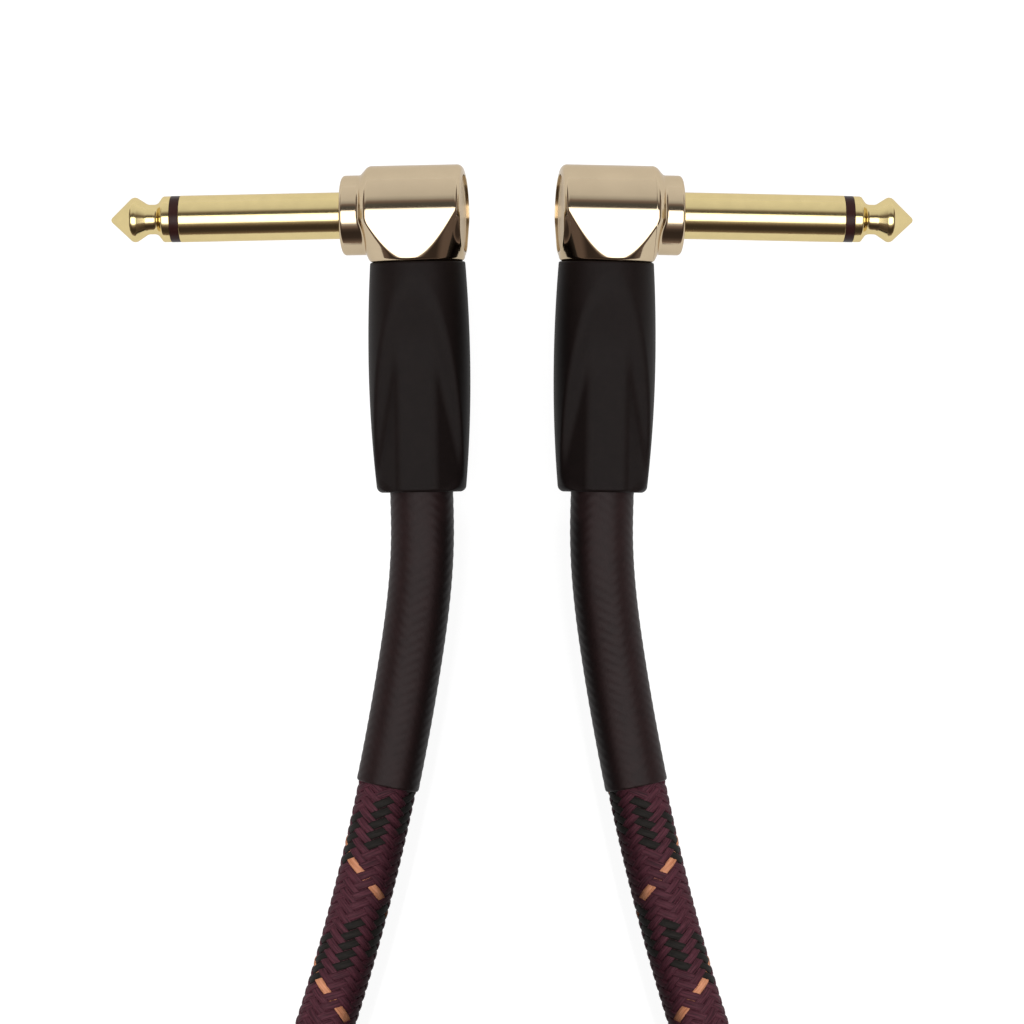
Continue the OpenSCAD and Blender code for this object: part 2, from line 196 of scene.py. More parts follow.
def surface(name, colour, rough, metallic=0.0, vary=0.08, grain=0.6, fine=9.0, depth=0.000004,
            rough_vary=0.05, **values):
    """A smooth solid's finish: a little uneven in colour and gloss, with a fine grain."""
    n = Nodes(name)
    at = n.coords()
    broad = n.noise(at, grain)
    n.link(n.ramp(broad, [(0.3, shade(colour, 1 - vary)), (0.7, shade(colour, 1 + vary))]),
           n.shader.inputs["Base Color"])
    small = n.noise(at, fine, detail=4)
    n.link(n.spread(small, rough - rough_vary, rough + rough_vary), n.shader.inputs["Roughness"])
    n.set(Metallic=metallic, **values)
    n.bump(small, depth)
    return n.mat


# ---------------------------------------------------------------- materials
GOLD = linear(226, 206, 150)
NICKEL = linear(206, 187, 157)
MATERIALS = {
    "gold_contact": surface("gold_contact", GOLD, rough=0.13, metallic=1.0, vary=0.03, depth=0.000001,
                            rough_vary=0.03, Specular_Tint=pale(GOLD)),
    "housing_metal": surface("housing_metal", NICKEL, rough=0.09, metallic=1.0, vary=0.03, grain=0.25,
                             depth=0.000001, rough_vary=0.03, Specular_Tint=pale(NICKEL)),
    "cap_metal": surface("cap_metal", NICKEL, rough=0.34, metallic=1.0, vary=0.03, grain=0.25,
                         depth=0.000002, Specular_Tint=pale(NICKEL)),
    "boot_rubber": surface("boot_rubber", linear(24, 17, 16), rough=0.5, vary=0.1, fine=14,
                           depth=0.000012, Specular_IOR_Level=0.1),
    "heat_shrink": surface("heat_shrink", linear(38, 24, 24), rough=0.45, vary=0.15, fine=6,
                           depth=0.000008, Specular_IOR_Level=0.16),
    "cable_jacket": surface("cable_jacket", linear(24, 22, 23), rough=0.5),
    "copper": surface("copper", linear(190, 125, 88), rough=0.3, metallic=1.0, vary=0.15),
    "inner_insulation": surface("inner_insulation", linear(236, 232, 218), rough=0.4),
    "black_insulator": surface("black_insulator", linear(50, 26, 23), rough=0.32, vary=0.1,
                               Specular_IOR_Level=0.15),
    "solder": surface("solder", linear(186, 188, 192), rough=0.25, metallic=1.0, vary=0.15, fine=3),
    "fibre": surface("fibre", linear(150, 100, 60), rough=0.7, vary=0.2, grain=2),
}
FILAMENT_SCALE = (26, 0.5, 1)
FILAMENT_RELIEF = 0.00006


def yarn(name, colour, dark):
    """Braiding yarn: parallel filaments that run along the yarn, some of them darker."""
    n = Nodes(name)
    along = n.add("ShaderNodeMapping")
    along.inputs["Scale"].default_value = FILAMENT_SCALE
    n.link(n.coords("UV", (1, 1, 1)), along.inputs["Vector"])
    filament = n.noise(along.outputs["Vector"], 1.0, detail=3, rough=0.6)
    n.link(n.ramp(filament, [(0.3, dark), (0.62, colour), (0.85, shade(colour, 1.25))]),
           n.shader.inputs["Base Color"])
    n.set(Roughness=0.6, Specular_IOR_Level=0.15, Sheen_Weight=0.03, Sheen_Roughness=0.4,
          Sheen_Tint=shade(colour, 2.5))
    n.bump(filament, FILAMENT_RELIEF, strength=0.7)
    return n.mat


MAROON, BLACK, TAN = range(3)
YARNS = [
    yarn("maroon_yarn", linear(93, 49, 60), dark=linear(42, 19, 26)),
    yarn("black_yarn", linear(36, 32, 29), dark=linear(18, 16, 14)),
    yarn("tan_yarn", linear(226, 158, 122), dark=linear(182, 112, 76)),
]


# ---------------------------------------------------------------- meshes
def make_mesh(name, points, faces, materials, uv=None, face_material=None, normals=None):
    """A mesh object from points in metres, and faces that all have 3 or 4 corners."""
    points, faces = np.asarray(points, float), np.asarray(faces, np.int32)
    mesh = bpy.data.meshes.new(name)
    corners = faces.shape[1]
    mesh.vertices.add(len(points))
    mesh.vertices.foreach_set("co", points.ravel())
    mesh.loops.add(faces.size)
    mesh.loops.foreach_set("vertex_index", faces.ravel())
    mesh.polygons.add(len(faces))
    mesh.polygons.foreach_set("loop_start", np.arange(0, faces.size, corners, dtype=np.int32))
    mesh.polygons.foreach_set("use_smooth", np.ones(len(faces), bool))
    for material in materials:
        mesh.materials.append(material)
    if face_material is not None:
        mesh.polygons.foreach_set("material_index", np.asarray(face_material, np.int32))
    if uv is not None:
        mesh.uv_layers.new(name="along").data.foreach_set("uv", np.asarray(uv, np.float32).ravel())
    mesh.update(calc_edges=True)
    if normals is not None:
        mesh.normals_split_custom_set_from_vertices([tuple(v) for v in normals])
    obj = bpy.data.objects.new(name, mesh)
    bpy.context.scene.collection.objects.link(obj)
    return obj


MIRROR = (-1, 1, 1)


def mirrored(points, faces):
    """The right-hand piece from the left-hand one."""
    return np.asarray(points) * MIRROR, np.asarray(faces)[:, ::-1]


def full_circle(count):
    """Evenly spaced angles, all the way round."""
    return np.linspace(0, TURN, count, endpoint=False)


def grid(rings, columns, closed_rings=False):
    """Quads over rings of points, the points of each ring closing on themselves."""
    i = np.arange(rings if closed_rings else rings - 1)[:, None]
    k = np.arange(columns)[None, :]
    a = i * columns + k
    b = i * columns + (k + 1) % columns
    up = ((i + 1) % rings - i) * columns
    return np.stack([a, b, b + up, a + up], -1).reshape(-1, 4)


COS_T, SIN_T = math.cos(REST_TILT), math.sin(REST_TILT)
COS_R, SIN_R = math.cos(PLUG_TURN), math.sin(PLUG_TURN)
LEFT = (np.array([[COS_R, -SIN_R, 0], [SIN_R, COS_R, 0], [0, 0, 1]])
        @ np.array([[COS_T, 0, -SIN_T], [0, 1, 0], [SIN_T, 0, COS_T]]))
ELBOW = np.array([-PLUG_SPACING / 2, ELBOW_Y, ELBOW_Z])


def finish_piece(obj, slot, *nodes):
    """Rides the piece on the part's one body, and hides the CAD nodes that it replaces. Its slot is not
    used.
    """
    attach(obj, "root")
    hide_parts(*nodes)
    return obj


def both_sides(name, points, faces, slot, node, normals=None, finish=None):
    """The left-hand piece, from points in metres, and its mirror image on the right."""
    made = []
    for side in ("left", "right"):
        if side == "right":
            points, faces = mirrored(points, faces)
            normals = None if normals is None else normals * MIRROR
        obj = make_mesh(f"{side}_{name}", points, faces, [MATERIALS[finish or slot]], normals=normals)
        made.append(finish_piece(obj, slot, f"{side}_{node}"))
    return made


def both_plugs(name, points, faces, slot, node, normals=None, finish=None):
    """The same piece on both plugs, from points in the plug's own axes, in millimetres."""
    points = (np.asarray(points, float) @ LEFT.T + ELBOW) * MM
    normals = None if normals is None else normals @ LEFT.T
    return both_sides(name, points, faces, slot, node, normals, finish)


# ---------------------------------------------------------------- the cable's line
def boot_axis(s):
    """A point on the left boot's axis, by distance from the elbow."""
    return np.array([s * SIN_R - PLUG_SPACING / 2, ELBOW_Y - s * COS_R, ELBOW_Z])


def smooth_line(points, count):
    """A natural cubic spline through the points, spaced by their distances."""
    p = np.array(points, float)
    t = np.concatenate([[0], np.cumsum(np.linalg.norm(np.diff(p, axis=0), axis=1))])
    h, n = np.diff(t), len(t)
    a, b = np.zeros((n, n)), np.zeros((n, 3))
    a[0, 0] = a[-1, -1] = 1
    for i in range(1, n - 1):
        a[i, i - 1:i + 2] = h[i - 1], 2 * (h[i - 1] + h[i]), h[i]
        b[i] = 6 * ((p[i + 1] - p[i]) / h[i] - (p[i] - p[i - 1]) / h[i - 1])
    m = np.linalg.solve(a, b)
    x = np.linspace(0, t[-1], count)
    i = np.clip(np.searchsorted(t, x) - 1, 0, n - 2)
    w = h[i][:, None]
    lo, hi = (t[i + 1] - x)[:, None] / w, (x - t[i])[:, None] / w
    return lo * p[i] + hi * p[i + 1] + ((lo ** 3 - lo) * m[i] + (hi ** 3 - hi) * m[i + 1]) * w ** 2 / 6


class Line:
    """Half of the cable's centreline, from the left elbow to the middle of the loop.

    Places on it are distances from the boot's end, in millimetres.
    """

    def __init__(self):
        samples, inside_boot = 6000, 20
        half = [boot_axis(s) for s in (0, inside_boot, BOOT_END, BOOT_END + STRAIGHT_OUT)]
        half += [np.array(p) / MM for p in ROUTE]
        whole = half + [p * MIRROR for p in half[-2::-1]]
        self.fine = smooth_line(whole, 2 * samples + 1)[:samples + 1]
        steps = np.linalg.norm(np.diff(self.fine, axis=0), axis=1)
        self.along = np.concatenate([[0], np.cumsum(steps)]) - BOOT_END
        self.end = self.along[-1]

    def at(self, s):
        return np.stack([np.interp(s, self.along, self.fine[:, k]) for k in range(3)], -1)

    def frame(self, s):
        """Point, heading, up and right at each distance, right as the picture has it on the left."""
        reach, last_part = 0.3, 0.31
        p = self.at(s)
        ahead = self.at(np.minimum(s + reach, self.end)) - self.at(s - reach)
        ahead[s > self.end - last_part] = (1, 0, 0)
        t = ahead / np.linalg.norm(ahead, axis=1)[:, None]
        right = np.cross((0, 0, 1), t)
        right /= np.linalg.norm(right, axis=1)[:, None]
        return p, t, np.cross(t, right), right

    def where(self, y):
        """Distance from the boot at which the line passes a y of the row frame."""
        return float(np.interp(-y, -self.fine[:, 1], self.along))


LINE = Line()


def around(s, angle, radius):
    """Points round the cable: rows of distances by columns of angles, angle 0 on top."""
    p, _, up, right = LINE.frame(s)
    if np.ndim(radius) < 2:
        radius = np.broadcast_to(np.reshape(radius, (-1, 1)), (len(s), np.shape(angle)[-1]))
    angle = np.broadcast_to(angle, radius.shape)
    return (p[:, None] + radius[..., None] * (np.cos(angle)[..., None] * up[:, None]
                                              + np.sin(angle)[..., None] * right[:, None]))


# ---------------------------------------------------------------- braided cover
PITCH = 17.1
CARRIERS = 12
COLUMNS = CARRIERS // 2
COLUMN_TURN = math.radians(-3)
# Radius of a yarn's middle, how far it rises and sinks, and half of its thickness
YARN_MID, YARN_RISE, YARN_HALF = 3.74, 0.12, 0.15
YARN_SPREAD = math.radians(15)
YARN_CORNERS = 10
# Powers that square off a yarn's section, and its rise and fall
YARN_EDGE, FLOAT_EDGE = 0.6, 0.8
COVER_START, COVER_STEP = -3.0, 0.33
BLACK_YARNS, TAN_YARNS = 5, 1
# The row of pixels where the photograph has the middle of the first black patch
BLACK_ROW = 821.5
BLACK_AT = LINE.where((MIDDLE_ROW - BLACK_ROW) / PIXELS_PER_MM + CAMERA_Y)
# From the middle of a black patch to the next tan ticks, in degrees of the braid's turn
TAN_LAG = 165
# How far the noise moves from yarn to yarn
YARN_NOISE_STEP = 3.1


def squared_off(wave, power):
    """A wave between -1 and 1 with flatter tops and steeper sides."""
    return np.sign(wave) * np.abs(wave) ** power


def make_cover():
    """24 flat yarns, 12 each way round, each passing over two and under two."""
    steps = int((LINE.end - COVER_START) / COVER_STEP)
    s = np.linspace(COVER_START, LINE.end, steps)
    tan_at = BLACK_AT + PITCH * TAN_LAG / 360
    phase = TURN * BLACK_AT / PITCH - TURN * (BLACK_YARNS // 2) / CARRIERS
    t = full_circle(YARN_CORNERS)
    across, height = squared_off(np.cos(t), YARN_EDGE), squared_off(np.sin(t), YARN_EDGE)
    points, faces, uvs, mats = [], [], [], []
    quads = grid(steps, len(t))
    column = np.tile(np.arange(len(t)), steps - 1)
    row = np.repeat(np.arange(steps - 1), len(t))
    for way in (-1, 1):
        for i in range(CARRIERS):
            if way < 0:
                middle = -TURN * s / PITCH + TURN * i / CARRIERS + phase
                colour = BLACK if i < BLACK_YARNS else MAROON
            else:
                middle = TURN * (s - tan_at) / PITCH + TURN * i / CARRIERS
                colour = TAN if i < TAN_YARNS else MAROON
            lift = squared_off(-way * np.cos(COLUMNS * (middle - COLUMN_TURN)), FLOAT_EDGE)
            angle = middle[:, None] + across[None] * YARN_SPREAD
            radius = YARN_MID + YARN_RISE * lift[:, None] + YARN_HALF * height[None]
            u = np.stack([column, column + 1, column + 1, column], -1) / len(t)
            v = np.stack([s[row], s[row], s[row + 1], s[row + 1]], -1)
            faces.append(quads + len(points) * steps * len(t))
            points.append(around(s, angle, radius).reshape(-1, 3))
            uvs.append(np.stack([u + YARN_NOISE_STEP * len(points), v], -1))
            mats.append(np.full(len(quads), colour))
    points, faces, uv = np.concatenate(points) * MM, np.concatenate(faces), np.concatenate(uvs)
    other, back = mirrored(points, faces)
    obj = make_mesh("braided_cover", np.concatenate([points, other]),
                    np.concatenate([faces, back + len(points)]), YARNS,
                    uv=np.concatenate([uv, uv[:, ::-1]]), face_material=np.concatenate(mats + mats))
    return finish_piece(obj, "braid", "cable_cover")


def make_layer(name, radius, slot, sides, node):
    """A smooth round layer of the cable, all the way from one plug to the other."""
    rings = 260
    s = np.linspace(COVER_START, LINE.end, rings)
    left = around(s, full_circle(sides), radius) * MM
    points = np.concatenate([left, (left * MIRROR)[-2::-1]]).reshape(-1, 3)
    obj = make_mesh(name, points, grid(2 * rings - 1, sides), [MATERIALS[slot]])
    return finish_piece(obj, slot, node)


SHRINK_START, SHRINK_END_Y = -6, -62.0
SHRINK_R, SHRINK_BUMP = 4.25, 0.04
SHRINK_COLUMNS, SHRINK_STEP = 96, 0.2
# The free edge: its length and drop, and its closer rings, with how far back they begin
EDGE_LEN, EDGE_DROP, EDGE_RINGS, EDGE_RINGS_FROM = 0.3, 0.12, 6, 0.45
# The tube's inside, as distances back from its free edge and radii
SHRINK_LINING = ((0.02, 4.06), (1.5, 4.04))


def make_shrinks():
    """Heat-shrink tubes that let the braid under them show as rows of low bumps."""
    end = LINE.where(SHRINK_END_Y)
    angle = full_circle(SHRINK_COLUMNS)
    s = np.concatenate([np.arange(SHRINK_START, end - EDGE_RINGS_FROM, SHRINK_STEP),
                        np.linspace(end - EDGE_RINGS_FROM, end, EDGE_RINGS)])
    turn = angle[None] / TURN * PITCH

    def wave(at):
        return 0.5 + 0.5 * np.cos(at)

    def yarns(at):
        return wave(TURN * (at - BLACK_AT) * CARRIERS / PITCH)

    row = wave(COLUMNS * angle)[None]
    bumps = row * yarns(s[:, None] + turn) + (1 - row) * yarns(s[:, None] - turn)
    edge = np.clip((s - (end - EDGE_LEN)) / EDGE_LEN, 0, 1)[:, None]
    skin = around(s, angle, SHRINK_R + SHRINK_BUMP * bumps - EDGE_DROP * edge ** 3)
    back, radius = np.array(SHRINK_LINING).T
    points = np.concatenate([skin, around(end - back, angle, radius)]).reshape(-1, 3) * MM
    return both_sides("shrink_tube", points, grid(len(s) + 2, len(angle)), "heat_shrink", "heat_shrink")


cover = make_cover()
layers = [
    make_layer("jacket", radius=3.2, slot="cable_jacket", sides=24, node="cable_jacket"),
    make_layer("screen", radius=2.3, slot="copper", sides=20, node="cable_screen"),
    make_layer("core", radius=2.0, slot="inner_insulation", sides=20, node="cable_core"),
    make_layer("conductor", radius=0.55, slot="copper", sides=12, node="cable_conductor"),
]
shrinks = make_shrinks()


# ---------------------------------------------------------------- turned pieces of the finger
def turned(profile, segments=96):
    """A closed profile of (distance from the elbow, radius), turned about the finger."""
    profile = np.array(profile, float)
    a = full_circle(segments)
    x = -profile[:, :1] + np.zeros((1, segments))
    y, z = profile[:, 1:] * np.cos(a), profile[:, 1:] * np.sin(a)
    return np.stack([x, y, z], -1).reshape(-1, 3), grid(len(profile), segments)[:, ::-1]


def rounded(corners, radius, steps=5):
    """A line through the corners, each inner one rounded by the radius or by its own in a list."""
    nearly_straight, too_small = 1.57, 1e-6
    corners = [np.array(c, float) for c in corners]
    out = [corners[0]]
    for i in range(1, len(corners) - 1):
        r = radius[i - 1] if isinstance(radius, list) else radius
        a, b, c = corners[i - 1:i + 2]
        u, v = a - b, c - b
        lu, lv = np.linalg.norm(u), np.linalg.norm(v)
        u, v = u / lu, v / lv
        half = math.acos(np.clip(u @ v, -1, 1)) / 2
        cut = min(r / math.tan(half), 0.49 * lu, 0.49 * lv) if half < nearly_straight else 0
        if cut < too_small:
            out.append(b)
            continue
        r = cut * math.tan(half)
        middle = b + (u + v) / np.linalg.norm(u + v) * r / math.sin(half)
        for k in range(steps + 1):
            w = k / steps
            p = (b + u * cut) * (1 - w) + (b + v * cut) * w - middle
            out.append(middle + p / np.linalg.norm(p) * r)
    out.append(corners[-1])
    return out


def arc(cx, cr, r, start, stop, steps):
    """Points on an arc of the profile, its angles in degrees from outwards to the point."""
    return [(cx + r * math.sin(math.radians(a)), cr + r * math.cos(math.radians(a)))
            for a in np.linspace(start, stop, steps)]


# Places along the finger, by distance from the elbow, and radii
SHOULDER, POINT = 10.1, 41.85
RING_FRONT = POINT - 8.3
BARREL_FRONT = RING_FRONT - 1.25
AXIS_R = 0.001
ROD_BACK, HEAD_FRONT, HEAD_R, ROD_R = 4.6, 5.1, 1.5, 1.1
RIM_AT, GROOVE_BACK, GROOVE_FRONT = POINT - 7.2, POINT - 6.4, POINT - 5.1
TIP_R, GROOVE_R = 3.125, 2.02
# The bulb's arc, by its middle, radius and angles, and the rounded point that ends the cone
BULB_AT, BULB_OUT, BULB_R, BULB_ANGLES = POINT - 3.3, 2.25, 0.8, (-36, 42)
POINT_R, POINT_ANGLES = 0.5, (45, 90)
RING_R, RING_BORE_R = 3.15, 1.2
BARREL_BACK, FLANGE_BACK, FLANGE_FRONT = 7.0, 8.3, 9.3
BARREL_R, SEAT_R, FLANGE_R, TAIL_R = 3.175, 3.575, 4.2, 2.9
BACK_BORE_R, FRONT_BORE_R = 2.15, 2.2
# Radii of the rounded edges
ROD_EDGE, TIP_RIM, GROOVE_EDGE, BARREL_EDGE, RING_EDGE = 0.1, 0.4, 0.9, 0.08, 0.06


def make_finger():
    """The tip with its rod, the ring and the barrel."""
    bulb = arc(BULB_AT, BULB_OUT, BULB_R, *BULB_ANGLES, 12)
    point = arc(POINT - POINT_R, 0, POINT_R, *POINT_ANGLES, 6)
    tip = rounded(
        [(ROD_BACK, AXIS_R), (ROD_BACK, HEAD_R), (HEAD_FRONT, HEAD_R), (HEAD_FRONT, ROD_R),
         (RING_FRONT, ROD_R), (RING_FRONT, TIP_R), (RIM_AT, TIP_R), (GROOVE_BACK, GROOVE_R),
         (GROOVE_FRONT, GROOVE_R), bulb[0]],
        [ROD_EDGE] * 5 + [TIP_RIM] + [GROOVE_EDGE] * 2)
    tip = tip[:-1] + bulb + point[:-1] + [(POINT, AXIS_R)]
    both_plugs("tip", *turned(tip), "gold_contact", "tip_contact")
    barrel = rounded(
        [(BARREL_BACK, BACK_BORE_R), (BARREL_BACK, TAIL_R), (FLANGE_BACK, TAIL_R), (FLANGE_BACK, FLANGE_R),
         (FLANGE_FRONT, FLANGE_R), (FLANGE_FRONT, SEAT_R), (SHOULDER, SEAT_R), (SHOULDER, BARREL_R),
         (BARREL_FRONT, BARREL_R), (BARREL_FRONT, FRONT_BORE_R)], BARREL_EDGE)
    both_plugs("barrel_shell", *turned(barrel), "gold_contact", "barrel")
    ring = rounded([(BARREL_FRONT, RING_BORE_R), (BARREL_FRONT, RING_R), (RING_FRONT, RING_R),
                    (RING_FRONT, RING_BORE_R)], RING_EDGE)
    both_plugs("ring", *turned(ring), "black_insulator", "tip_ring")


make_finger()


# ---------------------------------------------------------------- rounded forms
def soft_max(a, b, k):
    """The larger of two distances, blended where they are closer than k."""
    h = np.maximum(k - np.abs(a - b), 0) / k
    return np.maximum(a, b) + h * h * k / 4


def soft_min(a, b, k):
    """The smaller of two distances, blended where they are closer than k."""
    return -soft_max(-a, -b, k)


def round_corner(a, b, r):
    """Two half-spaces' distances, joined with an edge of that radius."""
    qa, qb = a + r, b + r
    return np.hypot(np.maximum(qa, 0), np.maximum(qb, 0)) + np.minimum(np.maximum(qa, qb), 0) - r


def crossing(inside, low, high, halvings):
    """Between low and high, the distance at which the inside of a form ends."""
    for _ in range(halvings):
        mid = (low + high) / 2
        within = inside(mid)
        low, high = np.where(within, mid, low), np.where(within, high, mid)
    return (low + high) / 2


def reach(field, start, way, far=9.0):
    """How far each ray runs from inside the form to its surface."""
    shape = start.shape[:-1]
    return crossing(lambda t: field(start + way * t[..., None]) < 0,
                    np.zeros(shape), np.full(shape, far), halvings=26)


def gradient(field, p, step=1e-3):
    """The field's rise along each axis, which points out of the form."""
    return np.stack([field(p + d) - field(p - d) for d in np.eye(3) * step], -1) / (2 * step)


# ---------------------------------------------------------------- housing
BODY_R, BODY_HALF, COLLAR_R, STEP_LEN = 6.65, 6.45, 5.425, 1.1
BACK_ROUND, COLLAR_ROUND = 0.85, 0.5
NECK_Z, NECK_FLAT, NECK_SLOPE, NECK_SKEW = 6.52, 1.03, 0.44, 0.09
RIM_R, RIM_EDGE = 5.6, 0.25
# Widths of the blends: front step, cone, foot, rim ring and collar
STEP_BLEND, NECK_BLEND, FOOT_BLEND, RIM_BLEND, COLLAR_BLEND = 0.35, 0.25, 0.5, 0.4, 0.25
CAP_BORE_R, CAP_FRONT, CAP_BACK, LIP_ROUND = 5.25, 4.8, 6.2, 0.08
# The bore's rows from the cap's ledge to the collar's front, by x and radius
BORE_ROWS = ((CAP_FRONT, CAP_BORE_R), (CAP_FRONT, 4.6), (-9.0, 4.25), (-9.2, 3.45))


def housing_field(p):
    """Distance field of the housing's outside: round above the finger, square below it."""
    x, y, z = p[..., 0], p[..., 1], p[..., 2]
    r = np.hypot(y, z)
    out = np.where(y > 0, r, np.abs(z))
    slope = (BODY_R - COLLAR_R) / STEP_LEN
    step = (out - BODY_R - (x + BODY_HALF) * slope) / math.hypot(1, slope)
    body = soft_max(round_corner(out - BODY_R, x - BODY_HALF, BACK_ROUND), step, STEP_BLEND)
    body = np.maximum(body, -x - BODY_HALF - STEP_LEN)
    across = np.hypot(NECK_FLAT * (x + NECK_SKEW * np.abs(z)), z)
    neck = (across - NECK_Z - NECK_SLOPE * (y + NECK_DROP)) * math.cos(math.atan(NECK_SLOPE))
    body = soft_max(body, neck, NECK_BLEND)
    body = soft_max(body, -y - NECK_DROP, FOOT_BLEND)
    rim = np.maximum(round_corner(r - RIM_R, x - BODY_HALF, RIM_EDGE), -x)
    collar = np.maximum(round_corner(r - COLLAR_R, -x - SHOULDER, COLLAR_ROUND), x)
    return soft_min(soft_min(body, rim, RIM_BLEND), collar, COLLAR_BLEND)


def housing_rays():
    """Rays in a plane through the finger's axis: each one's start by x and radius, and its way."""
    quarter = math.pi / 2
    front, back, hub = 0.9 - SHOULDER, 4.7, 2.0
    face_radii, front_r, back_r = (3.45, 3.7, 4.0, 4.3), 4.5, 5.4
    step_from, step_to = -BODY_HALF - STEP_LEN - 0.3, 0.4 - BODY_HALF
    collar_gap, step_gap, body_gap = 0.12, 0.05, 0.11
    rays = [(front, r, -1, 0) for r in face_radii]
    rays += [(front, front_r, -math.cos(t), math.sin(t)) for t in np.linspace(0, quarter, 26)]
    stations = np.concatenate([np.arange(front + 0.08, step_from, collar_gap),
                               np.arange(step_from, step_to, step_gap),
                               np.arange(step_to, back, body_gap)])
    rays += [(x, hub, 0, 1) for x in stations]
    rays += [(back, back_r, math.sin(t), math.cos(t)) for t in np.linspace(0, quarter, 64)]
    return np.array(rays)


def make_housings():
    """Shell of even rows round the finger's axis, and the bore's rows inside it."""
    columns = 400
    a = full_circle(columns)
    out = np.stack([np.zeros(columns), np.cos(a), np.sin(a)], -1)[None]
    ahead = np.array([1.0, 0, 0])
    rays = housing_rays()
    start = rays[:, 0, None, None] * ahead + rays[:, 1, None, None] * out
    way = rays[:, 2, None, None] * ahead + rays[:, 3, None, None] * out
    shell = start + way * reach(housing_field, start, way)[..., None]
    rows, normals = [shell], [gradient(housing_field, shell)]
    lip = CAP_BORE_R + LIP_ROUND
    start = np.broadcast_to(CAP_FRONT * ahead + lip * out, (1, columns, 3))
    depth = reach(housing_field, start, np.broadcast_to(ahead, start.shape))[..., None]
    edge = CAP_FRONT - LIP_ROUND + depth
    for t in np.linspace(0, math.pi / 2, 6):
        face = math.cos(t) * ahead - math.sin(t) * out
        rows.append(edge * ahead + lip * out + LIP_ROUND * face)
        normals.append(face)
    for x, r in BORE_ROWS:
        rows.append(np.broadcast_to(x * ahead + r * out, (1, columns, 3)))
        normals.append(-out)
    points = np.concatenate(rows)
    normals = np.concatenate(normals).reshape(-1, 3)
    normals /= np.linalg.norm(normals, axis=1)[:, None]
    faces = grid(len(points), columns, closed_rings=True)
    both_plugs("housing_shell", points.reshape(-1, 3), faces, "housing_metal", "housing", normals=normals)


make_housings()

CAP_R, DISH_R, DISH_SLOPE, DISH_DEPTH, CAP_EDGE = 5.2, 4.2, 0.2, 0.08, 0.1


def make_back_caps():
    """Disc pressed into the housing's back, with a flat rim and a shallow dish."""
    dish = DISH_DEPTH - CAP_BACK
    cap = rounded([(-CAP_FRONT, AXIS_R), (-CAP_FRONT, CAP_R), (-CAP_BACK, CAP_R), (-CAP_BACK, DISH_R),
                   (dish, DISH_R - DISH_SLOPE), (dish, AXIS_R)], CAP_EDGE)
    points, faces = turned(cap)
    both_plugs("cap", points, faces[:, ::-1], "housing_metal", "back_cap", finish="cap_metal")


make_back_caps()

# ---------------------------------------------------------------- boot
BELLY_AT, BELLY_R, MOUTH_LESS, FOOT_LESS = 13.5, 6.9, 0.45, 0.9
FLAT_SLOPE, FLAT_FROM = math.radians(10.2), 3.0
TONGUE_Z, TONGUE_HALF, TONGUE_FLARE = 5.0, 2.55, 1.15
FLAT_END, RUN_OUT = BOOT_LEN - 1.9, math.radians(50)
SOFT_EDGE, RUN_OUT_EDGE = 0.5, 0.6
FOOT_ROUND, FOOT_FACE_R = 0.8, 4.75
# The mouth's rounded edge: rows by distance from the housing, and how far each one draws in
MOUTH_ROWS = ((0, 0.25), (0.05, 0.1), (0.1, 0.04), (0.18, 0.01))
SOCKET_LEN, SOCKET_R, CABLE_BORE_R = 8.05, 5.4, 4.32
FOOT_BORE_R, FOOT_BORE_EDGE = 4.45, 0.15


def boot_radius(s):
    """Radius before the flats: widest at the belly, less by a parabola to the mouth and the foot."""
    before = BELLY_R - MOUTH_LESS * (1 - s / BELLY_AT) ** 2
    after = BELLY_R - FOOT_LESS * ((s - BELLY_AT) / (BOOT_LEN - BELLY_AT)) ** 2
    return np.where(s < BELLY_AT, before, after)


def boot_field(u, w, s):
    """Distance field of the boot's outside: u across, w to the front or back, s from the housing."""
    w, u = np.abs(w), np.abs(u)
    side = np.hypot(u, w) - boot_radius(s)
    foot = round_corner(side, s - BOOT_LEN, FOOT_ROUND)
    top = float(boot_radius(FLAT_FROM))
    slope = (w - (top - (s - FLAT_FROM) * math.tan(FLAT_SLOPE))) * math.cos(FLAT_SLOPE)
    wall = (u - TONGUE_HALF - TONGUE_FLARE * (TONGUE_Z - w)) / math.hypot(1, TONGUE_FLARE)
    tongue = soft_max(w - TONGUE_Z, wall, SOFT_EDGE)
    floor_w = top - (FLAT_END - FLAT_FROM) * math.tan(FLAT_SLOPE)
    run = -(s - FLAT_END - (w - floor_w) / math.tan(RUN_OUT)) * math.sin(RUN_OUT)
    kept = soft_min(soft_min(slope, tongue, SOFT_EDGE), run, RUN_OUT_EDGE)
    return soft_max(foot, kept, SOFT_EDGE)


